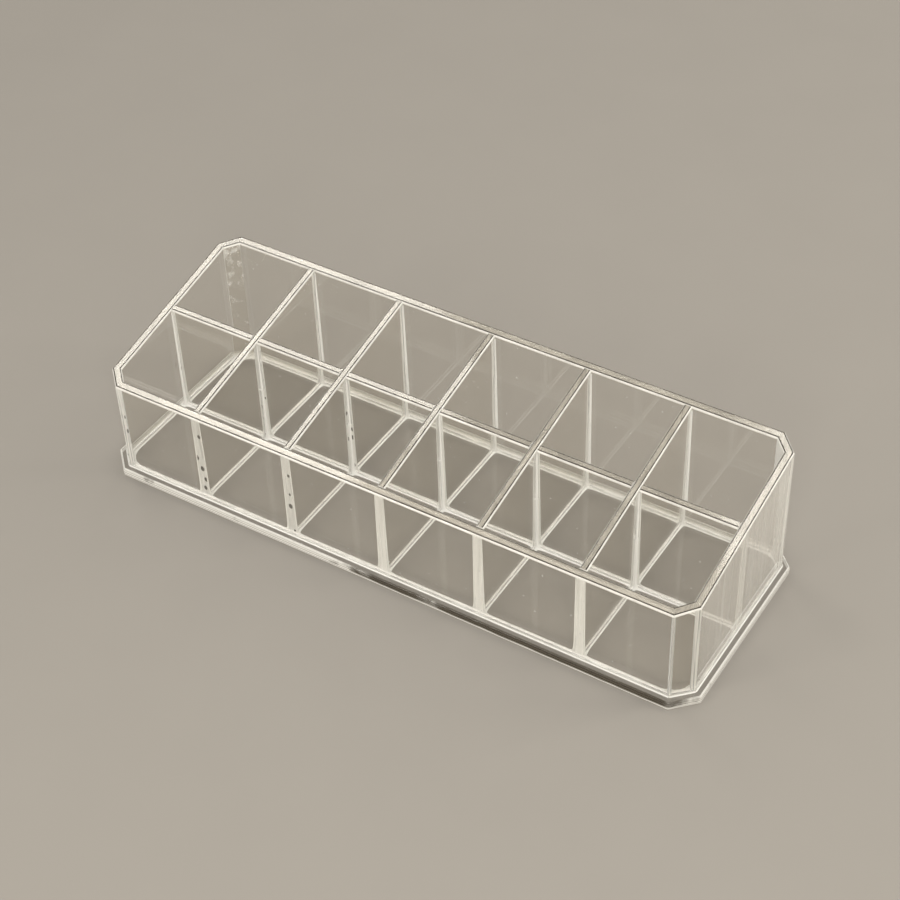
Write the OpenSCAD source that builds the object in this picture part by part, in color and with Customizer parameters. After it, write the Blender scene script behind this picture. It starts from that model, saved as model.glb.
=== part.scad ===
// Clear acrylic organizer with two rows of square compartments.
// Cut sheets are bonded edge to face: a base plate, four walls, four corner strips between the walls,
// and dividers that cross in halved joints. All top edges lie in one plane that slopes down to the front.
// Millimetres. X runs along the length, the low front wall faces -Y and Z is up.
// The origin is the centre of the base plate's underside.

/* [Base plate] */
// Length of the base plate, the longest size of the whole
base_length = 180; // [150:1:260]
// Depth of the base plate, front to back
base_depth = 63; // [54:1:110]
// Thickness of the base plate
base_thickness = 2.5; // [2:0.1:5]
// Lip that the base plate shows all round outside the walls
base_lip = 2; // [0.5:0.1:5]

/* [Walls] */
// Height of the front rim above the table
front_height = 31; // [20:0.5:60]
// Height of the back rim above the table
back_height = 43; // [20:0.5:90]
// Thickness of the wall sheets and of the corner strips
wall_thickness = 2.5; // [1.5:0.1:4]
// Length that each cut corner takes off both of its walls
corner_cut = 4.8; // [3:0.1:10]

/* [Dividers] */
// Thickness of the divider sheets
divider_thickness = 2.2; // [1.5:0.1:4]
// Play on each side of a halved joint's slot
slot_gap = 0.1; // [0.05:0.01:0.3]
// Height of the slot's closed end, as a share of the long divider's height
slot_height_share = 0.5; // [0.3:0.05:0.7]

/* [Hidden] */
// Overrun that lets a cut pass clear through a face
over = 1;
// Compartments in each row
columns = 6;
// Half sizes of the octagon that the walls stand on
half_length = base_length / 2 - base_lip;
half_depth = base_depth / 2 - base_lip;
// What a cut corner loses for each millimetre that the octagon is drawn inward
cut_loss_share = 2 - sqrt(2);
// Clear inside sizes
inside_length = 2 * (half_length - wall_thickness);
inside_depth = 2 * (half_depth - wall_thickness);
// Clear length of one compartment, and the step from one to the next
cell_length = (inside_length - (columns - 1) * divider_thickness) / columns;
pitch = cell_length + divider_thickness;
// Height of the rim plane at the middle, and the height of the slots' closed ends
middle_height = rim_height(0);
slot_height = base_thickness + (middle_height - base_thickness) * slot_height_share;
// Width of a slot, with its play
slot_width = divider_thickness + 2 * slot_gap;
// Corners of the octagon, counted anticlockwise from the front wall's right end
front_right = 0;
back_right = 2;
back_left = 4;
front_left = 6;

// Height of the sloping rim plane at a place y along the depth
function rim_height(y) = front_height + (back_height - front_height) * (y + half_depth) / (2 * half_depth);

// The walls' octagon drawn inward by inset, or outward where inset is negative
function octagon(inset) =
    let (
        x = half_length - inset,
        y = half_depth - inset,
        cut = corner_cut - inset * cut_loss_share
    )
    [
        [x - cut, -y], [x, -y + cut],
        [x, y - cut], [x - cut, y],
        [-x + cut, y], [-x, y - cut],
        [-x, -y + cut], [-x + cut, -y]
    ];

// Outline of a straight sheet seen from above, centred on the origin
function straight(length, thickness) = [
    [-length / 2, -thickness / 2], [length / 2, -thickness / 2],
    [length / 2, thickness / 2], [-length / 2, thickness / 2]
];

// Place of a cross divider's middle, counted from 1 at the left
function cross_x(index) = -half_length + wall_thickness + index * pitch - divider_thickness / 2;

// Everything above the base plate and below the rim plane
module under_rim() {
    rotate([90, 0, 90])
        translate([0, 0, -half_length - over])
            linear_extrude(2 * (half_length + over))
                polygon([
                    [-half_depth - over, base_thickness],
                    [half_depth + over, base_thickness],
                    [half_depth + over, rim_height(half_depth + over)],
                    [-half_depth - over, rim_height(-half_depth - over)]
                ]);
}

// An upright sheet on the base plate, cut off at the rim plane
module standing_sheet(outline) {
    intersection() {
        linear_extrude(max(front_height, back_height) + over)
            polygon(outline);
        under_rim();
    }
}

// One side of the shell, from an octagon corner to the next, with mitred ends
module shell_side(corner) {
    next = (corner + 1) % len(octagon(0));
    color("ivory", 0.35)
        standing_sheet([
            octagon(0)[corner], octagon(0)[next],
            octagon(wall_thickness)[next], octagon(wall_thickness)[corner]
        ]);
}

module base_plate() {
    color("ivory", 0.45)
        linear_extrude(base_thickness)
            polygon(octagon(-base_lip));
}

module front_wall() {
    shell_side(front_left + 1);
}

module right_end_wall() {
    shell_side(front_right + 1);
}

module back_wall() {
    shell_side(back_right + 1);
}

module left_end_wall() {
    shell_side(back_left + 1);
}

// The slots are open at the top, and the cross dividers drop into them
module long_divider() {
    color("ivory", 0.35)
        difference() {
            standing_sheet(straight(inside_length, divider_thickness));
            for (index = [1 : columns - 1])
                translate([cross_x(index), 0, slot_height - slot_gap / 2])
                    linear_extrude(max(front_height, back_height))
                        square([slot_width, divider_thickness + 2 * over], center = true);
        }
}

// The slot is open at the bottom and straddles the long divider
module cross_divider(index) {
    color("ivory", 0.35)
        translate([cross_x(index), 0, 0])
            difference() {
                standing_sheet(straight(divider_thickness, inside_depth));
                translate([0, 0, base_thickness - over])
                    linear_extrude(slot_height + slot_gap / 2 - base_thickness + over)
                        square([divider_thickness + 2 * over, slot_width], center = true);
            }
}

base_plate();
front_wall();
right_end_wall();
back_wall();
left_end_wall();
shell_side(front_right);  // front_right_corner
shell_side(back_right);  // back_right_corner
shell_side(back_left);  // back_left_corner
shell_side(front_left);  // front_left_corner
long_divider();
cross_divider(1);  // cross_divider_1
cross_divider(2);  // cross_divider_2
cross_divider(3);  // cross_divider_3
cross_divider(4);  // cross_divider_4
cross_divider(5);  // cross_divider_5
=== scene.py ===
import math

import bpy
from bpy.props import FloatProperty, FloatVectorProperty, IntProperty, PointerProperty
from mathutils import Matrix, Vector


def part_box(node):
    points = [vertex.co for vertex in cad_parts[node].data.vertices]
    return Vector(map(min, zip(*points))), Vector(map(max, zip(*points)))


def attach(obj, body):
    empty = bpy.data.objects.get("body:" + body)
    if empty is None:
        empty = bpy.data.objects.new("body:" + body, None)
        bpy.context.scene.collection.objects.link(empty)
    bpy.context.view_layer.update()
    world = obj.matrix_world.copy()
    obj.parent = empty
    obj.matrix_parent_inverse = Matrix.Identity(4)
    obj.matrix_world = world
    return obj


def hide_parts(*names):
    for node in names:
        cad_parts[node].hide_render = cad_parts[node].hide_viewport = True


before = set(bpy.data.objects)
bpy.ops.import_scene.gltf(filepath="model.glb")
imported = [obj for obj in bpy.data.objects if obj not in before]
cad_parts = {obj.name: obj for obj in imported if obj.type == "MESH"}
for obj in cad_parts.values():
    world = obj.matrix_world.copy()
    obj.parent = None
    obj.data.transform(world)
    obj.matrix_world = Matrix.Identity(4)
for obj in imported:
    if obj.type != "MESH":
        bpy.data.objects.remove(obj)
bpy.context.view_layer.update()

# Clear acrylic organizer, cut from cast sheet and solvent-bonded. Metres, in the CAD's own frame.
# Every sheet is one piece that stands for its CAD node, with clear faces and paler cut edges.

bl_info = {
    "name": "Clear Acrylic Organizer",
    "version": (1, 0, 0),
    "blender": (4, 5, 0),
    "location": "View3D > Sidebar > Organizer",
    "description": "Builds the organizer's clear sheets, their bonded seams and a plain studio",
    "category": "Object",
}

MM = 0.001
BODY = "root"
BASE = "base_plate"
RIGHT_END = "right_end_wall"
LONG_DIVIDER = "long_divider"
CROSS_DIVIDERS = [f"cross_divider_{index}" for index in range(1, 6)]
# The shell's sides, anticlockwise from the corner at the right end of the front wall
SHELL_SIDES = [
    "front_right_corner", RIGHT_END, "back_right_corner", "back_wall",
    "back_left_corner", "left_end_wall", "front_left_corner", "front_wall",
]
UP = Vector((0, 0, 1))
# Where a cement bead has a ring of corners, as shares of its length
BEAD_RINGS = (0.02, 0.04, 0.07, 0.12, 0.2, 0.5, 0.8, 0.88, 0.93, 0.96, 0.98)
# What an upright bead gains in width down to its foot, as a share of its width at the rim
BEAD_GROWTH = 1.4
# How far from a corner a bead thickens
POOL_REACH = 0.9 * MM
# Corners flatter than this are mitred, and have no upright bead
MITRE_COSINE = -0.5
# Radius of the hollow in a bead's free side, as a share of its width
BEAD_HOLLOW = 0.94
# Cosines at which a face is taken to face a way, and an edge or a bevel to follow one
FACING = 0.999
FOLLOWING = 0.9
# Places of an upright sheet's finishes in its list of materials
FACE, BONDED, FOOT, RIM, SHOULDER, ARRIS = range(6)
ACRYLIC_IOR = 1.49
# Tints of the painted shade on the base plate's front edge, of the bubbles and of the sky
EDGE_SHADE_TINT = "#5E5545"
BUBBLE_TINT = "#3A352E"
SKY_TINT = "#F7F8FA"
# Middle of the painted shade, a clear dark stretch on the base plate's edge. Depths count four times
# there, so that the shade is on the front edge alone.
EDGE_SHADE_MIDDLE = (40 * MM, -126 * MM, 0)
EDGE_SHADE_STRETCH = (1, 4, 1)
# Where most of the bubbles in the bonded seams are
BUBBLES = (-45 * MM, -27 * MM, 0)
# Distance of the softboxes from the organizer
LAMP_DISTANCE = 1.1
# Each softbox by the name of its radiance in the studio, with the way to it and its size
SOFTBOXES = (
    ("key", (0.45, -0.75, 0.48), (0.5, 0.35)),
    ("front", (-0.41, -0.78, 0.47), (0.3, 0.25)),
    ("side", (0.70, 0.50, 0.51), (0.36, 0.3)),
    ("top", (-0.527, 0.289, 0.799), (0.26, 0.26)),
    ("end", (-0.154, 0.345, 0.926), (0.105, 0.17)),
    ("back", (0.1, 0.85, 0.38), (1.4, 0.3)),
)


def linear(code):
    """A colour for Blender from an sRGB hex value such as #FFFFFF."""
    shares = [int(code[place:place + 2], 16) / 255 for place in (1, 3, 5)]
    return [s / 12.92 if s <= 0.04045 else ((s + 0.055) / 1.055) ** 2.4 for s in shares]


class OrganizerSizes(bpy.types.PropertyGroup):
    """Widths of the bevels, the bonds and the cement beads"""

    edge_bevel: FloatProperty(
        name="Edge bevel", description="Width of the bevel that polishing leaves along an edge",
        default=0.55 * MM, min=0.05 * MM, max=0.8 * MM, precision=5, unit="LENGTH",
    )
    lip_bevel: FloatProperty(
        name="Lip bevel", description="Width of the bevel along the base plate's edge",
        default=0.55 * MM, min=0.05 * MM, max=1.0 * MM, precision=5, unit="LENGTH",
    )
    bevel_rings: IntProperty(
        name="Bevel rings", description="Faces across a bevel", default=3, min=1, max=6,
    )
    bond_film: FloatProperty(
        name="Bond film", description="Thickness of the solvent bond between two sheets",
        default=0.03 * MM, min=0.01 * MM, max=0.2 * MM, precision=5, unit="LENGTH",
    )
    foot_bead: FloatProperty(
        name="Foot bead", description="Width of the cement bead along the foot of a sheet",
        default=0.32 * MM, min=0.1 * MM, max=2.0 * MM, precision=5, unit="LENGTH",
    )
    lip_bead: FloatProperty(
        name="Lip bead", description="Width of the cement bead outside the walls, on the base plate's lip",
        default=0.32 * MM, min=0.1 * MM, max=2.0 * MM, precision=5, unit="LENGTH",
    )
    joint_bead: FloatProperty(
        name="Joint bead", description="Width of an upright cement bead at its upper end",
        default=0.22 * MM, min=0.1 * MM, max=2.0 * MM, precision=5, unit="LENGTH",
    )
    pooled_bead: FloatProperty(
        name="Pooled bead", description="Width of a cement bead where it has run into a corner of the floor",
        default=1.1 * MM, min=0.1 * MM, max=3.0 * MM, precision=5, unit="LENGTH",
    )


class OrganizerColours(bpy.types.PropertyGroup):
    """Tints of the clear sheets and their edges, and colours of the studio"""

    sheet: FloatVectorProperty(
        name="Sheet", description="Tint of the clear faces", subtype="COLOR", size=3,
        default=linear("#FCFBF8"), min=0, max=1,
    )
    # Partly painted sheen: besides tinting what shows through the rims, this colour is their milky share,
    # which makes them pale
    rim: FloatVectorProperty(
        name="Rim", description="Tint of what shows through the polished cut edges", subtype="COLOR",
        size=3, default=linear("#C4BDB0"), min=0, max=1,
    )
    # Painted highlight: on the rounded corners along the edges this pale colour stands in for the light they
    # catch. It is also the milky colour of the base plate's sawn edge.
    arris: FloatVectorProperty(
        name="Arris", description="Colour of the clouded corners along the edges", subtype="COLOR",
        size=3, default=linear("#FCF9F2"), min=0, max=1,
    )
    # Painted shade: this dark tint stands in for the light that the turns beside the arrises bend away from
    # the eye
    shoulder: FloatVectorProperty(
        name="Shoulder", description="Tint of the clear turns that bend light away from the eye",
        subtype="COLOR", size=3, default=linear("#2E2922"), min=0, max=1,
    )
    bond: FloatVectorProperty(
        name="Bond", description="Colour of the whitened edges in the bonded seams", subtype="COLOR",
        size=3, default=linear("#FCFAF4"), min=0, max=1,
    )
    floor: FloatVectorProperty(
        name="Floor", description="Colour of the studio floor", subtype="COLOR", size=3,
        default=linear("#A8A29A"), min=0, max=1,
    )
    lamp: FloatVectorProperty(
        name="Lamp", description="Colour of the softboxes' light, very slightly warm",
        subtype="COLOR", size=3, default=linear("#FFFBF2"), min=0, max=1,
    )

    def backdrop(self):
        """The floor's colour in the lamps' light."""
        return [floor * lamp for floor, lamp in zip(self.floor, self.lamp)]


class OrganizerStudio(bpy.types.PropertyGroup):
    """The camera's place and the strengths of the lights"""

    azimuth: FloatProperty(
        name="Azimuth", description="Turn of the camera round the organizer, from its front",
        default=math.radians(33.45), subtype="ANGLE",
    )
    elevation: FloatProperty(
        name="Elevation", description="Height of the camera above the horizon",
        default=math.radians(42.09), subtype="ANGLE",
    )
    roll: FloatProperty(
        name="Roll", description="Turn of the camera about its own view",
        default=math.radians(-2.41), subtype="ANGLE",
    )
    distance: FloatProperty(
        name="Distance", description="From the camera to the middle of the view",
        default=528.13 * MM, unit="LENGTH",
    )
    middle: FloatVectorProperty(
        name="Middle", description="What the camera looks at", size=3,
        default=(0.83 * MM, 3.76 * MM, 20 * MM), precision=5, unit="LENGTH",
    )
    lens: FloatProperty(
        name="Lens", description="Focal length in millimetres on a 36 mm frame", default=80.22,
    )
    zenith: FloatProperty(
        name="Zenith", description="Strength of the even light from overhead", default=0.42,
    )
    horizon: FloatProperty(
        name="Horizon", description="Strength of the even light from the horizon", default=0.08,
    )
    key: FloatProperty(
        name="Key", description="Radiance of the main softbox, near the camera", default=13.4,
    )
    front: FloatProperty(
        name="Front", description="Radiance of the softbox on the left in front", default=12.6,
    )
    side: FloatProperty(
        name="Side", description="Radiance of the softbox on the right", default=12.4,
    )
    top: FloatProperty(
        name="Top", description="Radiance of the softbox that the rims on the left mirror", default=8.5,
    )
    end: FloatProperty(
        name="End", description="Radiance of the softbox that the right end's rim mirrors", default=8.6,
    )
    back: FloatProperty(
        name="Back", description="Radiance of the long softbox behind", default=1.5,
    )


class Shell:
    """Plan of the walls, read from the CAD nodes: an octagon under a sloping rim plane."""

    def __init__(self):
        front_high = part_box("front_wall")[1]
        back_low, back_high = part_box("back_wall")
        right_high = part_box(RIGHT_END)[1]
        self.half_length = right_high.x
        self.half_depth = back_high.y
        self.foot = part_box(BASE)[1].z
        self.wall = back_high.y - back_low.y
        self.corner_cut = right_high.x - front_high.x
        self.slope = (back_high.z - front_high.z) / (back_high.y - front_high.y)
        self.rim_place = Vector((0, back_high.y, back_high.z))
        self.rim_normal = Vector((0, -self.slope, 1)).normalized()
        self.top = back_high.z

    def rim_height(self, y):
        """Height of the rim plane at a place along the depth."""
        return self.top + self.slope * (y - self.half_depth)

    def corner(self, index, inset=0.0):
        """A corner of the octagon drawn inward by inset, anticlockwise from the front wall's right end."""
        x, y = self.half_length - inset, self.half_depth - inset
        cut = self.corner_cut - inset * (2 - math.sqrt(2))
        points = [
            (x - cut, -y), (x, -y + cut), (x, y - cut), (x - cut, y),
            (-x + cut, y), (-x, y - cut), (-x, -y + cut), (-x + cut, -y),
        ]
        return Vector((*points[index % len(points)], 0))


shell = Shell()


# Modelling
def box_primitive(name, size, place, turn=0.0):
    """A box of the given size about a place, turned about Z, alone in the selection."""
    bpy.ops.object.select_all(action="DESELECT")
    bpy.ops.mesh.primitive_cube_add(size=1, location=place, rotation=(0, 0, turn), scale=size)
    piece = bpy.context.object
    piece.name = piece.data.name = name
    bpy.ops.object.transform_apply(location=True, rotation=True, scale=True)
    return piece


def saw(piece, place, normal):
    """Cuts off what lies on the normal's side of a plane, and closes the cut."""
    bpy.ops.object.select_all(action="DESELECT")
    piece.select_set(True)
    bpy.context.view_layer.objects.active = piece
    bpy.ops.object.mode_set(mode="EDIT")
    bpy.ops.mesh.select_all(action="SELECT")
    bpy.ops.mesh.bisect(plane_co=place, plane_no=normal.normalized(), use_fill=True, clear_outer=True)
    bpy.ops.object.mode_set(mode="OBJECT")


def apply_modifier(piece, kind, **settings):
    """Adds a modifier to a piece, with its settings, and applies it."""
    modifier = piece.modifiers.new(kind.title(), kind)
    for name, value in settings.items():
        setattr(modifier, name, value)
    bpy.ops.object.select_all(action="DESELECT")
    piece.select_set(True)
    bpy.context.view_layer.objects.active = piece
    bpy.ops.object.modifier_apply(modifier=modifier.name)


def mark_long_edges(piece, along):
    """Gives a bevel weight to the edges that run along a sheet. Those in its joints stay sharp."""
    weights = piece.data.attributes.new("bevel_weight_edge", "FLOAT", "EDGE")
    for edge in piece.data.edges:
        start, end = (piece.data.vertices[index].co for index in edge.vertices)
        way = (end - start).normalized()
        weights.data[edge.index].value = 1.0 if abs(way.dot(along)) > FOLLOWING else 0.0


def finish_sheet(piece, node, finish_of, width, finishes, limit="ANGLE"):
    """Gives a sheet's faces their materials, bevels its edges and puts it in its CAD node's place.

    finish_of gives the place in finishes that belongs to a face. The bevels get the last of them.
    """
    for finish in finishes:
        piece.data.materials.append(finish)
    for face in piece.data.polygons:
        face.material_index = finish_of(face.normal)
    apply_modifier(
        piece, "BEVEL", width=width, segments=bpy.context.scene.organizer_sizes.bevel_rings,
        limit_method=limit, angle_limit=math.radians(30), harden_normals=True,
        material=len(finishes) - 1,
    )
    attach(piece, BODY)
    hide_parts(node)


def finish_upright(piece, node, across, face_finish):
    """Finishes a wall, a corner strip or a divider, whose free edge is in the rim plane.

    across is the direction through the sheet's thickness.
    """
    finishes = (face_finish, bonded_edge(), bonded_foot(), rim_with_painted_sheen(), shoulder_painted_shade(),
                arris_painted_highlight())

    def finish_of(normal):
        if abs(normal.dot(across)) > FACING:
            return FACE
        if normal.dot(shell.rim_normal) > FACING:
            return RIM
        return FOOT if normal.z < -FACING else BONDED

    width = bpy.context.scene.organizer_sizes.edge_bevel
    mark_long_edges(piece, UP.cross(across))
    finish_sheet(piece, node, finish_of, width, finishes, limit="WEIGHT")
    for face in piece.data.polygons:
        if face.material_index == ARRIS and face.normal.dot(shell.rim_normal) > FOLLOWING:
            face.material_index = SHOULDER


# Materials
def add_node(tree, kind, sockets=None, **settings):
    """Adds a node with its settings. sockets gives inputs a value, or the output that feeds them."""
    node = tree.nodes.new(kind)
    for name, value in settings.items():
        setattr(node, name, value)
    for name, value in (sockets or {}).items():
        if isinstance(value, bpy.types.NodeSocket):
            tree.links.new(value, node.inputs[name])
        else:
            node.inputs[name].default_value = value
    return node


def new_tree(name):
    """An empty node tree of a new material."""
    finish = bpy.data.materials.new(name)
    finish.use_nodes = True
    finish.node_tree.nodes.clear()
    return finish.node_tree


def finish_named(name):
    """Wraps the function that fills a finish's node tree, so that its call gives the material.

    The material is made at the first call. The function gets the tree, the output that gives a
    point's place on the piece, and the organizer's colours.
    """
    def wrap(fill):
        def material():
            if name not in bpy.data.materials:
                tree = new_tree(name)
                place = add_node(tree, "ShaderNodeTexCoord").outputs["Object"]
                fill(tree, place, bpy.context.scene.organizer_colours)
            return bpy.data.materials[name]
        return material
    return wrap


def seen(tree):
    """1 for the rays by which the eye sees a thing, straight or in and through glass, and 0 for others."""
    path = add_node(tree, "ShaderNodeLightPath")
    glass = add_node(tree, "ShaderNodeMath", {0: path.outputs["Is Glossy Ray"],
                     1: path.outputs["Is Transmission Ray"]}, operation="MAXIMUM")
    return add_node(tree, "ShaderNodeMath", {0: path.outputs["Is Camera Ray"], 1: glass.outputs[0]},
                    operation="MAXIMUM").outputs[0]


def let_lamps_through(tree, shader, passed):
    """Ends a clear material: what a lamp sends through it is dimmed a little and isn't bent."""
    path = add_node(tree, "ShaderNodeLightPath")
    straight = add_node(tree, "ShaderNodeMath", {0: path.outputs["Is Shadow Ray"],
                        1: path.outputs["Is Diffuse Ray"]}, operation="MAXIMUM")
    dimmed = add_node(tree, "ShaderNodeBsdfTransparent", {"Color": (passed, passed, passed, 1)})
    mix = add_node(tree, "ShaderNodeMixShader", {0: straight.outputs[0], 1: shader.outputs[0],
                   2: dimmed.outputs[0]})
    add_node(tree, "ShaderNodeOutputMaterial", {"Surface": mix.outputs[0]})


@finish_named("cast_acrylic_face")
def cast_face(tree, place, colours):
    """Cast acrylic, the faces that were formed against plate glass.

    Clear and glossy with a faint warm tint and a barely seen ripple. Handling leaves dull smears, and
    a few specks of dust.
    """
    ripple = add_node(tree, "ShaderNodeTexNoise", {"Vector": place, "Scale": 1 / (14 * MM), "Detail": 1.0})
    smear = add_node(tree, "ShaderNodeTexNoise", {"Vector": place, "Scale": 1 / (9 * MM), "Detail": 3.0})
    gloss = add_node(tree, "ShaderNodeMapRange", {"Value": smear.outputs["Fac"], "From Min": 0.4,
                     "From Max": 0.75, "To Min": 0.01, "To Max": 0.06})
    bump = add_node(tree, "ShaderNodeBump", {"Height": ripple.outputs["Fac"], "Strength": 1.0,
                    "Distance": 0.02 * MM})
    cells = add_node(tree, "ShaderNodeTexVoronoi", {"Vector": place, "Scale": 1 / (4 * MM)})
    clear = add_node(tree, "ShaderNodeMapRange", {"Value": cells.outputs["Distance"], "From Min": 0.03,
                     "From Max": 0.05, "To Min": 0.3, "To Max": 1.0})
    shader = add_node(tree, "ShaderNodeBsdfPrincipled", {
        "Base Color": (*colours.sheet, 1), "Roughness": gloss.outputs[0], "IOR": ACRYLIC_IOR,
        "Transmission Weight": clear.outputs[0], "Normal": bump.outputs[0]})
    let_lamps_through(tree, shader, 0.96)


@finish_named("solvent_hazed_face")
def hazed_face(tree, place, colours):
    """Cast acrylic, the corner strips, clouded by the vapour of the solvent.

    Clear at the foot and in front, with milky specks that thicken towards the rim, the back and the
    right end.
    """
    rise = add_node(tree, "ShaderNodeVectorMath", {0: place, 1: (
                    1 / (330 * MM), 1 / (72 * MM), 1 / (172 * MM))}, operation="DOT_PRODUCT")
    patches = add_node(tree, "ShaderNodeTexNoise", {"Vector": place, "Scale": 1 / (3 * MM), "Detail": 4.0})
    sum_of = add_node(tree, "ShaderNodeMath", {0: rise.outputs["Value"], 1: patches.outputs["Fac"]},
                      operation="ADD")
    gloss = add_node(tree, "ShaderNodeMapRange", {"Value": sum_of.outputs[0], "From Min": 0.83,
                     "From Max": 1.03, "To Min": 0.02, "To Max": 0.3})
    clear = add_node(tree, "ShaderNodeMapRange", {"Value": sum_of.outputs[0], "From Min": 0.83,
                     "From Max": 1.03, "To Min": 1.0, "To Max": 0.2})
    shader = add_node(tree, "ShaderNodeBsdfPrincipled", {
        "Base Color": (*colours.bond, 1), "Roughness": gloss.outputs[0], "IOR": ACRYLIC_IOR,
        "Transmission Weight": clear.outputs[0]})
    let_lamps_through(tree, shader, 0.9)


@finish_named("wipes_and_painted_sheen")
def wipes_and_sheen_face(tree, place, colours):
    """Cast acrylic, the right end wall, dulled by handling and wiping, and with a painted sheen.

    A thin milky veil on a clear glossy sheet, partly wipe marks and partly a painted sheen that
    thickens it towards the back and the rim. Its upright wipe marks are some 0.1 mm wide, and are drawn
    1.5 mm wide here so that they show.
    """
    upright = add_node(tree, "ShaderNodeMapping", {"Vector": place, "Scale": (1, 1, 0.05)})
    marks = add_node(tree, "ShaderNodeTexNoise", {"Vector": upright.outputs[0],
                     "Scale": 1 / (1.5 * MM), "Detail": 2.0})
    # Painted sheen: the veil thickens towards the back and the rim
    rise = add_node(tree, "ShaderNodeVectorMath", {0: place, 1: (
                    0, 1 / (200 * MM), 1 / (200 * MM))}, operation="DOT_PRODUCT")
    veil = add_node(tree, "ShaderNodeMath", {0: marks.outputs["Fac"], 1: 0.9,
                    2: rise.outputs["Value"]}, operation="MULTIPLY_ADD")
    clear = add_node(tree, "ShaderNodeMapRange", {"Value": veil.outputs[0], "From Min": 0.2,
                     "From Max": 0.95, "To Min": 0.95, "To Max": 0.64})
    shader = add_node(tree, "ShaderNodeBsdfPrincipled", {
        "Base Color": (*colours.bond, 1), "Roughness": 0.02, "IOR": ACRYLIC_IOR,
        "Transmission Weight": clear.outputs[0]})
    let_lamps_through(tree, shader, 0.92)


@finish_named("rim_painted_sheen_finish")
def rim_with_painted_sheen(tree, place, colours):
    """Cast acrylic, cut edges after flame polishing.

    Mostly clear and glossy, and a little wavy along the cut, with a milky share painted on as sheen so
    that the rims show pale. The eye looks down the whole height of the sheet here, so the tint is
    deeper than on the faces.
    """
    waves = add_node(tree, "ShaderNodeTexNoise", {"Vector": place, "Scale": 1 / (7 * MM), "Detail": 1.0})
    gloss = add_node(tree, "ShaderNodeMapRange", {"Value": waves.outputs["Fac"], "From Min": 0.3,
                     "From Max": 0.7, "To Min": 0.04, "To Max": 0.08})
    bump = add_node(tree, "ShaderNodeBump", {"Height": waves.outputs["Fac"], "Strength": 1.0,
                    "Distance": 0.008 * MM})
    # The milky share left by a transmission weight of 0.72 is painted sheen
    shader = add_node(tree, "ShaderNodeBsdfPrincipled", {
        "Base Color": (*colours.rim, 1), "Roughness": gloss.outputs[0], "IOR": ACRYLIC_IOR,
        "Transmission Weight": 0.72, "Normal": bump.outputs[0]})
    let_lamps_through(tree, shader, 0.85)


@finish_named("shoulder_painted_dark_line")
def shoulder_painted_shade(tree, place, colours):
    """Cast acrylic, the turn from the flat of a polished edge to its rounded corner.

    Clear, with a painted dark tint as the shade of the turn, which bends the light away from the eye, so
    that it shows as a fine dark line.
    """
    waves = add_node(tree, "ShaderNodeTexNoise", {"Vector": place, "Scale": 1 / (7 * MM), "Detail": 1.0})
    gloss = add_node(tree, "ShaderNodeMapRange", {"Value": waves.outputs["Fac"], "From Min": 0.3,
                     "From Max": 0.7, "To Min": 0.06, "To Max": 0.15})
    clear = add_node(tree, "ShaderNodeMapRange", {"Value": waves.outputs["Fac"], "From Min": 0.3,
                     "From Max": 0.7, "To Min": 0.74, "To Max": 0.6})
    # The dark base colour is painted shade, a fine dark line along each edge
    shader = add_node(tree, "ShaderNodeBsdfPrincipled", {
        "Base Color": (*colours.shoulder, 1), "Roughness": gloss.outputs[0], "IOR": ACRYLIC_IOR,
        "Transmission Weight": clear.outputs[0]})
    let_lamps_through(tree, shader, 0.7)


@finish_named("rounded_arris_painted_highlight")
def arris_painted_highlight(tree, place, colours):
    """Cast acrylic, the corners along a polished edge.

    The flame rounds them, and a pale milky colour is painted on as the highlight they catch, so that they
    run as crisp pale lines.
    """
    clouds = add_node(tree, "ShaderNodeTexNoise", {"Vector": place, "Scale": 1 / (5 * MM), "Detail": 2.0})
    gloss = add_node(tree, "ShaderNodeMapRange", {"Value": clouds.outputs["Fac"], "From Min": 0.3,
                     "From Max": 0.7, "To Min": 0.12, "To Max": 0.25})
    clear = add_node(tree, "ShaderNodeMapRange", {"Value": clouds.outputs["Fac"], "From Min": 0.35,
                     "From Max": 0.65, "To Min": 0.15, "To Max": 0.4})
    # The pale, mostly opaque colour is a painted highlight along the edge
    shader = add_node(tree, "ShaderNodeBsdfPrincipled", {
        "Base Color": (*colours.arris, 1), "Roughness": gloss.outputs[0], "IOR": ACRYLIC_IOR,
        "Transmission Weight": clear.outputs[0]})
    let_lamps_through(tree, shader, 0.8)


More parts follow.
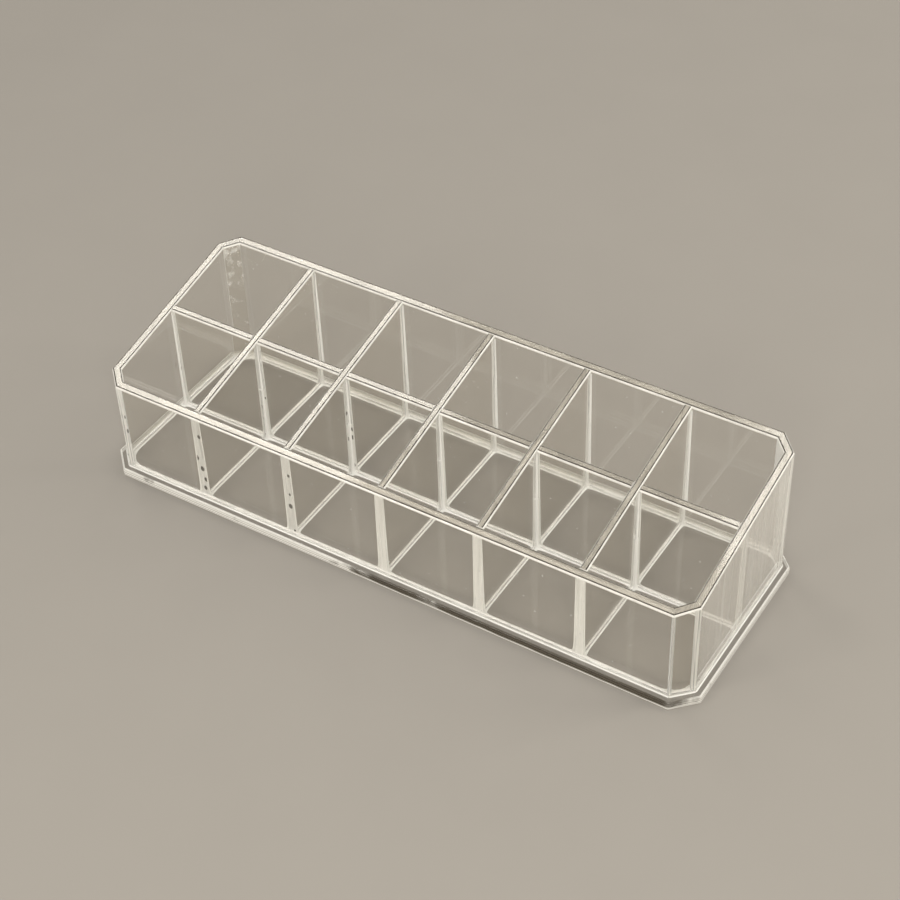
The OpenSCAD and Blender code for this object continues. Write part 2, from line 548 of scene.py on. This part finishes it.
@finish_named("lip_scrapes_and_painted_light")
def lip_edge_scrapes_and_painted_light(tree, place, colours):
    """Cast acrylic, the base plate's sawn edge after scraping.

    Milky, with a painted shade that makes it clear and dark in the right half of the front, and a
    painted highlight, a milky line along its foot. Its fine marks run along the edge, 0.1 mm apart,
    and are drawn 0.7 mm apart here so that they show.
    """
    stretched = add_node(tree, "ShaderNodeMapping", {"Vector": place, "Scale": EDGE_SHADE_STRETCH})
    away = add_node(tree, "ShaderNodeVectorMath", {0: stretched.outputs[0], 1: EDGE_SHADE_MIDDLE},
                    operation="DISTANCE").outputs["Value"]
    # Painted shade: near the middle of the front's right half the edge is made clear and dark
    ends = add_node(tree, "ShaderNodeMapRange", {"Value": away, "From Min": 38 * MM,
                    "From Max": 60 * MM, "To Min": -0.2, "To Max": 0.3})
    mottle = add_node(tree, "ShaderNodeTexNoise", {"Vector": place, "Scale": 1 / (5 * MM), "Detail": 3.0})
    height = add_node(tree, "ShaderNodeSeparateXYZ", {"Vector": place}).outputs["Z"]
    # Painted highlight: the lowest millimetre of the edge is made milky, a pale line where its lower corner
    # catches the light
    foot = add_node(tree, "ShaderNodeMapRange", {"Value": height, "From Min": 0.7 * MM,
                    "From Max": 1.0 * MM, "To Min": 0.6, "To Max": 0.0})
    patches = add_node(tree, "ShaderNodeMath", {0: ends.outputs[0], 1: mottle.outputs["Fac"]},
                       operation="ADD")
    sum_of = add_node(tree, "ShaderNodeMath", {0: patches.outputs[0], 1: foot.outputs[0]},
                      operation="ADD")
    milky = add_node(tree, "ShaderNodeMapRange", {"Value": sum_of.outputs[0], "From Min": 0.4,
                     "From Max": 0.7, "To Min": 0.0, "To Max": 1.0})
    # The dark tint of the clear stretch is painted shade; the milky tint is the sawn edge's own
    tint = add_node(tree, "ShaderNodeMix", {0: milky.outputs[0], 6: (*linear(EDGE_SHADE_TINT), 1),
                    7: (*colours.arris, 1)}, data_type="RGBA")
    clear = add_node(tree, "ShaderNodeMapRange", {"Value": milky.outputs[0], "To Min": 0.95,
                     "To Max": 0.35})
    marks = add_node(tree, "ShaderNodeTexWave", {"Vector": place, "Scale": math.pi / (10 * 0.7 * MM),
                     "Distortion": 1.2, "Detail": 1.0, "Detail Scale": 0.12}, bands_direction="Z")
    gloss = add_node(tree, "ShaderNodeMapRange", {"Value": marks.outputs["Fac"], "From Min": 0.2,
                     "From Max": 0.8, "To Min": 0.08, "To Max": 0.3})
    bump = add_node(tree, "ShaderNodeBump", {"Height": marks.outputs["Fac"], "Strength": 1.0,
                    "Distance": 0.02 * MM})
    shader = add_node(tree, "ShaderNodeBsdfPrincipled", {
        "Base Color": tint.outputs[2], "Roughness": gloss.outputs[0], "IOR": ACRYLIC_IOR,
        "Transmission Weight": clear.outputs[0], "Normal": bump.outputs[0]})
    let_lamps_through(tree, shader, 0.7)


@finish_named("bonded_sawn_edge")
def bonded_edge(tree, place, colours):
    """Cast acrylic, sawn edges inside the solvent-bonded seams.

    Whitened by the saw and the solvent, so that they catch the light and show as pale bands, with
    upright saw marks. Low in the front seams at the left they are wetted greyer, and the solvent left
    most of its dark bubbles there.
    """
    drawn = add_node(tree, "ShaderNodeMapping", {"Vector": place, "Scale": (1.0, 1.0, 0.04)})
    marks = add_node(tree, "ShaderNodeTexNoise", {"Vector": drawn.outputs[0],
                     "Scale": 1 / (0.9 * MM), "Detail": 1.0})
    gloss = add_node(tree, "ShaderNodeMapRange", {"Value": marks.outputs["Fac"], "From Min": 0.3,
                     "From Max": 0.7, "To Min": 0.25, "To Max": 0.45})
    clear = add_node(tree, "ShaderNodeMapRange", {"Value": marks.outputs["Fac"], "From Min": 0.45,
                     "From Max": 0.62, "To Min": 0.1, "To Max": 0.7})
    axes = add_node(tree, "ShaderNodeSeparateXYZ", {"Vector": place})
    across = add_node(tree, "ShaderNodeMath", {0: axes.outputs["X"], 1: axes.outputs["Y"]},
                      operation="ADD")
    rise = add_node(tree, "ShaderNodeMath", {0: axes.outputs["Z"], 1: 0.7}, operation="MULTIPLY")
    flat = add_node(tree, "ShaderNodeCombineXYZ", {"X": across.outputs[0], "Y": rise.outputs[0]})
    cells = add_node(tree, "ShaderNodeTexVoronoi", {"Vector": flat.outputs[0], "Scale": 1 / (2.2 * MM)},
                     voronoi_dimensions="2D")
    chosen = add_node(tree, "ShaderNodeSeparateColor", {"Color": cells.outputs["Color"]})
    away = add_node(tree, "ShaderNodeVectorMath", {0: place, 1: BUBBLES},
                    operation="DISTANCE").outputs["Value"]
    odds = add_node(tree, "ShaderNodeMapRange", {"Value": away, "From Min": 0.0, "From Max": 55 * MM,
                    "To Min": 0.25, "To Max": 1.0})
    few = add_node(tree, "ShaderNodeMath", {0: chosen.outputs["Red"], 1: odds.outputs[0]},
                   operation="GREATER_THAN")
    size = add_node(tree, "ShaderNodeMapRange", {"Value": chosen.outputs["Green"], "To Min": 0.14,
                    "To Max": 0.36})
    ratio = add_node(tree, "ShaderNodeMath", {0: cells.outputs["Distance"], 1: size.outputs[0]},
                     operation="DIVIDE")
    spot = add_node(tree, "ShaderNodeMapRange", {"Value": ratio.outputs[0], "From Min": 0.7,
                    "From Max": 1.0, "To Min": 1.0, "To Max": 0.0})
    bubble = add_node(tree, "ShaderNodeMath", {0: few.outputs[0], 1: spot.outputs[0]},
                      operation="MULTIPLY")
    wetted, whitened = ([share * c for c in colours.bond] for share in (0.62, 0.92))
    core = add_node(tree, "ShaderNodeMix", {0: odds.outputs[0], 6: (*wetted, 1), 7: (*whitened, 1)},
                    data_type="RGBA")
    tint = add_node(tree, "ShaderNodeMix", {0: bubble.outputs[0], 6: core.outputs[2],
                    7: (*linear(BUBBLE_TINT), 1)}, data_type="RGBA")
    shader = add_node(tree, "ShaderNodeBsdfPrincipled", {
        "Base Color": tint.outputs[2], "Roughness": gloss.outputs[0], "IOR": ACRYLIC_IOR,
        "Transmission Weight": clear.outputs[0]})
    let_lamps_through(tree, shader, 0.7)


@finish_named("bonded_sawn_foot")
def bonded_foot(tree, place, colours):
    """Cast acrylic, the sawn foot of a sheet, bonded to the base plate.

    Wetted through by the solvent over most of its length, where it mirrors the dark inside of the
    sheet, and whitened in patches.
    """
    patches = add_node(tree, "ShaderNodeTexNoise", {"Vector": place, "Scale": 1 / (14 * MM), "Detail": 2.0})
    gloss = add_node(tree, "ShaderNodeMapRange", {"Value": patches.outputs["Fac"], "From Min": 0.35,
                     "From Max": 0.55, "To Min": 0.35, "To Max": 0.1})
    clear = add_node(tree, "ShaderNodeMapRange", {"Value": patches.outputs["Fac"], "From Min": 0.35,
                     "From Max": 0.55, "To Min": 0.2, "To Max": 0.74})
    shader = add_node(tree, "ShaderNodeBsdfPrincipled", {
        "Base Color": (*colours.bond, 1), "Roughness": gloss.outputs[0], "IOR": ACRYLIC_IOR,
        "Transmission Weight": clear.outputs[0]})
    let_lamps_through(tree, shader, 0.7)


@finish_named("dried_cement_bead")
def cement_bead(tree, place, colours):
    """Solvent cement that dried in the corners.

    A fine milky bead with a soft gloss, brighter than the sheets.
    """
    lumps = add_node(tree, "ShaderNodeTexNoise", {"Vector": place, "Scale": 1 / (3 * MM), "Detail": 2.0})
    gloss = add_node(tree, "ShaderNodeMapRange", {"Value": lumps.outputs["Fac"], "From Min": 0.3,
                     "From Max": 0.7, "To Min": 0.08, "To Max": 0.22})
    bump = add_node(tree, "ShaderNodeBump", {"Height": lumps.outputs["Fac"], "Strength": 1.0,
                    "Distance": 0.03 * MM})
    shader = add_node(tree, "ShaderNodeBsdfPrincipled", {
        "Base Color": (*colours.bond, 1), "Roughness": gloss.outputs[0], "IOR": ACRYLIC_IOR,
        "Transmission Weight": 0.2, "Normal": bump.outputs[0]})
    let_lamps_through(tree, shader, 0.8)


# Operators
class ORGANIZER_OT_base_plate(bpy.types.Operator):
    """Builds the octagonal plate that carries every other sheet"""

    bl_idname = "organizer.base_plate"
    bl_label = "Base Plate"

    def execute(self, context):
        low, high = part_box(BASE)
        plate = box_primitive("clear_base_plate", high - low, (low + high) / 2)
        lip = high.x - shell.half_length
        for index in (0, 2, 4, 6):
            place = shell.corner(index, -lip)
            side = shell.corner(index + 1, -lip) - place
            saw(plate, place, side.cross(UP))
        finish_sheet(
            plate, BASE, lambda normal: 0 if abs(normal.z) > FACING else 1,
            context.scene.organizer_sizes.lip_bevel, (cast_face(), lip_edge_scrapes_and_painted_light()),
        )
        return {"FINISHED"}


class ORGANIZER_OT_shell_sides(bpy.types.Operator):
    """Builds the four walls and the four corner strips, mitred where they meet"""

    bl_idname = "organizer.shell_sides"
    bl_label = "Walls and Corner Strips"

    def execute(self, context):
        film = context.scene.organizer_sizes.bond_film
        for index, node in enumerate(SHELL_SIDES):
            start, end = shell.corner(index), shell.corner(index + 1)
            along = (end - start).normalized()
            outward = along.cross(UP)
            foot = shell.foot + film
            length = (end - start).length
            middle = (start + end) / 2 - outward * shell.wall / 2
            middle.z = (foot + shell.top) / 2
            size = (length, shell.wall, shell.top - foot)
            side = box_primitive("clear_" + node, size, middle, math.atan2(along.y, along.x))
            for corner, way in ((index, -1), (index + 1, 1)):
                mitre = (shell.corner(corner) - shell.corner(corner, shell.wall)).cross(UP)
                mitre = mitre.normalized() * (1 if mitre.dot(along) * way > 0 else -1)
                saw(side, shell.corner(corner) - mitre * film / 2, mitre)
            saw(side, shell.rim_place, shell.rim_normal)
            finish_upright(side, node, outward, self.face_finish(node))
        return {"FINISHED"}

    @staticmethod
    def face_finish(node):
        """The finish of a side's faces: hazed corner strips, a wiped right end wall with a painted sheen,
        the rest clear.
        """
        if node.endswith("corner"):
            return hazed_face()
        return wipes_and_sheen_face() if node == RIGHT_END else cast_face()


class ORGANIZER_OT_long_divider(bpy.types.Operator):
    """Builds the sheet along the middle, with a slot for each cross divider"""

    bl_idname = "organizer.long_divider"
    bl_label = "Long Divider"

    def execute(self, context):
        film = context.scene.organizer_sizes.bond_film
        low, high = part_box(LONG_DIVIDER)
        low += Vector((film, 0, film))
        high -= Vector((film, 0, 0))
        divider = box_primitive("clear_long_divider", high - low, (low + high) / 2)
        saw(divider, shell.rim_place, shell.rim_normal)
        for node in CROSS_DIVIDERS:
            cut_slot(divider, node, Vector((slot_width(), 2 * shell.wall, 2 * shell.top)), 1)
        finish_upright(divider, LONG_DIVIDER, Vector((0, 1, 0)), cast_face())
        return {"FINISHED"}


class ORGANIZER_OT_cross_dividers(bpy.types.Operator):
    """Builds the sheets from front to back, each slotted over the long divider"""

    bl_idname = "organizer.cross_dividers"
    bl_label = "Cross Dividers"

    def execute(self, context):
        film = context.scene.organizer_sizes.bond_film
        for node in CROSS_DIVIDERS:
            low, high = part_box(node)
            low += Vector((0, film, film))
            high -= Vector((0, film, 0))
            divider = box_primitive("clear_" + node, high - low, (low + high) / 2)
            saw(divider, shell.rim_place, shell.rim_normal)
            cut_slot(divider, node, Vector((2 * shell.wall, slot_width(), 2 * shell.top)), -1)
            finish_upright(divider, node, Vector((1, 0, 0)), cast_face())
        return {"FINISHED"}


def heights(node):
    """The levels at which a CAD node has corners, from the lowest."""
    return sorted({round(v.co.z, 6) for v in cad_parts[node].data.vertices})


def slot_width():
    """Width of the slots, from the corners of the long divider."""
    places = sorted({round(v.co.x, 6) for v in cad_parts[LONG_DIVIDER].data.vertices})
    return places[2] - places[1]


def cut_slot(piece, node, size, way):
    """Cuts the slot where a cross divider and the long divider cross, open above or below."""
    low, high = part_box(node)
    end = heights(LONG_DIVIDER)[1] if way > 0 else heights(node)[1]
    place = Vector(((low.x + high.x) / 2, 0, end + way * size.z / 2))
    cutter = box_primitive("slot_cutter", size, place)
    apply_modifier(piece, "BOOLEAN", operation="DIFFERENCE", object=cutter, solver="EXACT")
    bpy.data.objects.remove(cutter)


def model_bead():
    """A cement bead of unit size in the corner between the faces X = 0 and Y = 0, standing along Z.

    Its free side is hollow, as surface tension leaves it, and it has a ring at each of BEAD_RINGS.
    """
    bead = box_primitive("bead_form", Vector((1, 1, 1)), Vector((0.5, 0.5, 0.5)))
    bpy.ops.object.select_all(action="DESELECT")
    bpy.ops.mesh.primitive_cylinder_add(vertices=32, radius=BEAD_HOLLOW, depth=2,
                                        location=(1, 1, 0.5))
    cutter = bpy.context.object
    apply_modifier(bead, "BOOLEAN", operation="DIFFERENCE", object=cutter, solver="EXACT")
    bpy.data.objects.remove(cutter)
    bpy.ops.object.mode_set(mode="EDIT")
    for level in BEAD_RINGS:
        bpy.ops.mesh.select_all(action="SELECT")
        bpy.ops.mesh.bisect(plane_co=(0, 0, level), plane_no=(0, 0, 1))
    bpy.ops.object.mode_set(mode="OBJECT")
    bpy.ops.object.shade_smooth_by_angle(angle=math.radians(40))
    return bead


def lay_bead(form, start, end, first, second, width):
    """A copy of the bead from start to end, against the two faces that run in first and second.

    width gives the bead's width at a distance from start and from end.
    """
    film = bpy.context.scene.organizer_sizes.bond_film
    bead = form.copy()
    bead.data = form.data.copy()
    bpy.context.scene.collection.objects.link(bead)
    start = start + (end - start).normalized() * film
    span = end - start
    for vertex in bead.data.vertices:
        x, y, z = vertex.co
        leg = width(span.length * z, span.length * (1 - z))
        vertex.co = start + span * z + first * (film + leg * x) + second * (film + leg * y)
    if span.dot(first.cross(second)) < 0:
        bead.data.flip_normals()
    return bead


class ORGANIZER_OT_cement_beads(bpy.types.Operator):
    """Lays the fine cement beads in the bonded corners, along the feet and up the joints"""

    bl_idname = "organizer.cement_beads"
    bl_label = "Cement Beads"

    def execute(self, context):
        sizes = context.scene.organizer_sizes
        form = model_bead()
        beads = []
        for loop, inside in self.loops():
            count = len(loop)
            for index in range(count):
                before, here = loop[index - 1], loop[index]
                after = loop[(index + 1) % count]
                along = (after - here).normalized()
                inward = UP.cross(along) * (1 if inside else -1)
                foot = Vector((0, 0, shell.foot))
                width = self.foot_width if inside else self.lip_width
                beads.append(lay_bead(form, here + foot, after + foot, inward, UP, width))
                back = (before - here).normalized()
                if inside and along.dot(back) > MITRE_COSINE:
                    rim = shell.rim_height(here.y) - sizes.pooled_bead
                    beads.append(lay_bead(form, here + foot, here + UP * rim, along, back,
                                          self.joint_width))
        bpy.data.objects.remove(form)
        bpy.ops.object.select_all(action="DESELECT")
        for bead in beads:
            bead.select_set(True)
        context.view_layer.objects.active = beads[0]
        bpy.ops.object.join()
        joined = context.object
        joined.name = joined.data.name = "cement_beads"
        joined.data.materials.append(cement_bead())
        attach(joined, BODY)
        return {"FINISHED"}

    @staticmethod
    def foot_width(from_start, from_end):
        """A foot bead's width: even, and wider near a corner, where cement pools."""
        sizes = bpy.context.scene.organizer_sizes
        pooled = math.exp(-min(from_start, from_end) / POOL_REACH)
        return sizes.foot_bead + (sizes.pooled_bead - sizes.foot_bead) * pooled

    @staticmethod
    def lip_width(from_start, from_end):
        """The width of the bead on the lip, the same all along."""
        return bpy.context.scene.organizer_sizes.lip_bead

    @staticmethod
    def joint_width(from_foot, from_rim):
        """An upright bead's width: it grows evenly downwards, and pools at the foot."""
        sizes = bpy.context.scene.organizer_sizes
        even = sizes.joint_bead * (1 + BEAD_GROWTH * from_rim / (from_rim + from_foot))
        return even + (sizes.pooled_bead - sizes.foot_bead) * math.exp(-from_foot / POOL_REACH)

    def loops(self):
        """Each compartment's floor outline, and the walls' outline on the lip, anticlockwise."""
        inner = [shell.corner(index, shell.wall) for index in range(8)]
        x_stops = [-inner[1].x]
        for node in CROSS_DIVIDERS:
            low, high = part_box(node)
            x_stops += [low.x, high.x]
        x_stops.append(inner[1].x)
        low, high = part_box(LONG_DIVIDER)
        y_stops = [inner[0].y, low.y, high.y, -inner[0].y]
        cut = inner[1].x - inner[0].x
        for column in range(0, len(x_stops), 2):
            for row in range(0, len(y_stops), 2):
                left, right = x_stops[column:column + 2]
                front, back = y_stops[row:row + 2]
                loop = []
                for x, y in ((left, front), (right, front), (right, back), (left, back)):
                    if abs(x) == inner[1].x and abs(y) == -inner[0].y:
                        ends = [Vector((x, y - math.copysign(cut, y), 0)),
                                Vector((x - math.copysign(cut, x), y, 0))]
                        loop += ends if x * y > 0 else reversed(ends)
                    else:
                        loop.append(Vector((x, y, 0)))
                yield loop, True
        yield [shell.corner(index) for index in range(8)], False


class ORGANIZER_OT_studio(bpy.types.Operator):
    """Builds the floor, the soft lights and the camera"""

    bl_idname = "organizer.studio"
    bl_label = "Studio"

    def execute(self, context):
        studio = context.scene.organizer_studio
        self.floor(context)
        self.world(context, studio)
        for name, way, size in SOFTBOXES:
            self.softbox(name + "_softbox", way, size, getattr(studio, name))
        self.camera(context, studio)
        self.light_paths(context)
        return {"FINISHED"}

    def floor(self, context):
        """A wide matt disc with a border, in a warm grey on which milky edges show."""
        bpy.ops.object.select_all(action="DESELECT")
        bpy.ops.mesh.primitive_circle_add(vertices=96, radius=4.0, fill_type="NGON")
        floor = context.object
        floor.name = floor.data.name = "studio_floor"
        bpy.ops.object.mode_set(mode="EDIT")
        bpy.ops.mesh.select_all(action="SELECT")
        bpy.ops.mesh.inset(thickness=0.5)
        bpy.ops.object.mode_set(mode="OBJECT")
        floor.data.materials.append(self.floor_paint(context))

    def floor_paint(self, context):
        """Matt painted board, even and soft with a very faint mottle."""
        tree = new_tree("matt_painted_board")
        colour = context.scene.organizer_colours.floor
        place = add_node(tree, "ShaderNodeTexCoord").outputs["Object"]
        mottle = add_node(tree, "ShaderNodeTexNoise", {"Vector": place, "Scale": 1 / (30 * MM)})
        darker = [0.96 * c for c in colour]
        tint = add_node(tree, "ShaderNodeMix", {0: mottle.outputs["Fac"], 6: (*colour, 1),
                        7: (*darker, 1)}, data_type="RGBA")
        shader = add_node(tree, "ShaderNodeBsdfPrincipled", {"Base Color": tint.outputs[2],
                          "Roughness": 0.9, "Specular IOR Level": 0.2})
        distance = add_node(tree, "ShaderNodeVectorMath", {0: place}, operation="LENGTH").outputs["Value"]
        far = add_node(tree, "ShaderNodeMapRange", {"Value": distance, "From Min": 0.5, "From Max": 1.6,
                       "To Min": 0.0, "To Max": 1.0})
        share = add_node(tree, "ShaderNodeMath", {0: far.outputs[0], 1: seen(tree)}, operation="MULTIPLY")
        backdrop = context.scene.organizer_colours.backdrop()
        even = add_node(tree, "ShaderNodeEmission", {"Color": (*backdrop, 1), "Strength": 1.0})
        mix = add_node(tree, "ShaderNodeMixShader", {0: share.outputs[0], 1: shader.outputs[0],
                       2: even.outputs[0]})
        add_node(tree, "ShaderNodeOutputMaterial", {"Surface": mix.outputs[0]})
        return bpy.data.materials["matt_painted_board"]

    def world(self, context, studio):
        """Even light, faint from the horizon and stronger from overhead.

        The eye and clear sheets see the floor's colour there instead, darker overhead.
        """
        world = bpy.data.worlds.new("even_sky")
        world.use_nodes = True
        tree = world.node_tree
        tree.nodes.clear()
        way = add_node(tree, "ShaderNodeTexCoord").outputs["Generated"]
        height = add_node(tree, "ShaderNodeSeparateXYZ", {"Vector": way}).outputs["Z"]
        strength = add_node(tree, "ShaderNodeMapRange", {"Value": height, "From Min": 0.0,
                            "From Max": 0.8, "To Min": studio.horizon, "To Max": studio.zenith})
        sky = add_node(tree, "ShaderNodeBackground", {
            "Color": (*linear(SKY_TINT), 1), "Strength": strength.outputs[0]})
        fade = add_node(tree, "ShaderNodeMapRange", {"Value": height, "From Min": 0.0, "From Max": 0.45,
                        "To Min": 1.0, "To Max": 0.35})
        backdrop = add_node(tree, "ShaderNodeBackground", {
            "Color": (*context.scene.organizer_colours.backdrop(), 1), "Strength": fade.outputs[0]})
        mix = add_node(tree, "ShaderNodeMixShader", {0: seen(tree), 1: sky.outputs[0],
                       2: backdrop.outputs[0]})
        add_node(tree, "ShaderNodeOutputWorld", {"Surface": mix.outputs[0]})
        context.scene.world = world

    def softbox(self, name, way, size, radiance):
        """A rectangular area light that shines at the organizer from a direction."""
        light = bpy.data.lights.new(name, "AREA")
        light.color = bpy.context.scene.organizer_colours.lamp
        light.shape = "RECTANGLE"
        light.size, light.size_y = size
        light.energy = radiance * math.pi * size[0] * size[1]
        lamp = bpy.data.objects.new(name, light)
        way = Vector(way).normalized()
        lamp.location = way * LAMP_DISTANCE
        lamp.rotation_euler = way.to_track_quat("Z", "Y").to_euler()
        lamp.visible_camera = False
        bpy.context.scene.collection.objects.link(lamp)

    def camera(self, context, studio):
        """The camera at the photograph's view, turned about the middle of the view."""
        camera = bpy.data.objects.new("camera", bpy.data.cameras.new("camera"))
        camera.data.lens = studio.lens
        camera.data.clip_start = 10 * MM
        turn = (
            Matrix.Rotation(studio.azimuth, 4, "Z")
            @ Matrix.Rotation(math.pi / 2 - studio.elevation, 4, "X")
            @ Matrix.Rotation(studio.roll, 4, "Z")
        )
        back = turn.to_3x3() @ Vector((0, 0, 1))
        place = Vector(studio.middle) + back * studio.distance
        camera.matrix_world = Matrix.Translation(place) @ turn
        context.scene.collection.objects.link(camera)
        context.scene.camera = camera

    def light_paths(self, context):
        """Enough bounces for light to pass all the sheets and run along inside them, and a plain view."""
        cycles = context.scene.cycles
        cycles.max_bounces = 32
        cycles.transmission_bounces = 32
        cycles.glossy_bounces = 16
        cycles.transparent_max_bounces = 48
        context.scene.view_settings.view_transform = "Standard"


class ORGANIZER_PT_panel(bpy.types.Panel):
    """Lists the organizer's building steps, sizes and colours"""

    bl_idname = "ORGANIZER_PT_panel"
    bl_label = "Clear Acrylic Organizer"
    bl_space_type = "VIEW_3D"
    bl_region_type = "UI"
    bl_category = "Organizer"

    def draw(self, context):
        scene = context.scene
        for step in STEPS:
            self.layout.operator(step.bl_idname)
        for group in (scene.organizer_sizes, scene.organizer_colours, scene.organizer_studio):
            column = self.layout.column()
            for name in group.__annotations__:
                column.prop(group, name)


STEPS = (
    ORGANIZER_OT_base_plate,
    ORGANIZER_OT_shell_sides,
    ORGANIZER_OT_long_divider,
    ORGANIZER_OT_cross_dividers,
    ORGANIZER_OT_cement_beads,
    ORGANIZER_OT_studio,
)
GROUPS = (OrganizerSizes, OrganizerColours, OrganizerStudio)
CLASSES = (*GROUPS, *STEPS, ORGANIZER_PT_panel)


def register():
    for kind in CLASSES:
        bpy.utils.register_class(kind)
    bpy.types.Scene.organizer_sizes = PointerProperty(type=OrganizerSizes)
    bpy.types.Scene.organizer_colours = PointerProperty(type=OrganizerColours)
    bpy.types.Scene.organizer_studio = PointerProperty(type=OrganizerStudio)


def unregister():
    del bpy.types.Scene.organizer_sizes
    del bpy.types.Scene.organizer_colours
    del bpy.types.Scene.organizer_studio
    for kind in reversed(CLASSES):
        bpy.utils.unregister_class(kind)


def main():
    """Builds the whole organizer and its studio."""
    register()
    bpy.ops.organizer.base_plate()
    bpy.ops.organizer.shell_sides()
    bpy.ops.organizer.long_divider()
    bpy.ops.organizer.cross_dividers()
    bpy.ops.organizer.cement_beads()
    bpy.ops.organizer.studio()


if __name__ == "__main__":
    main()
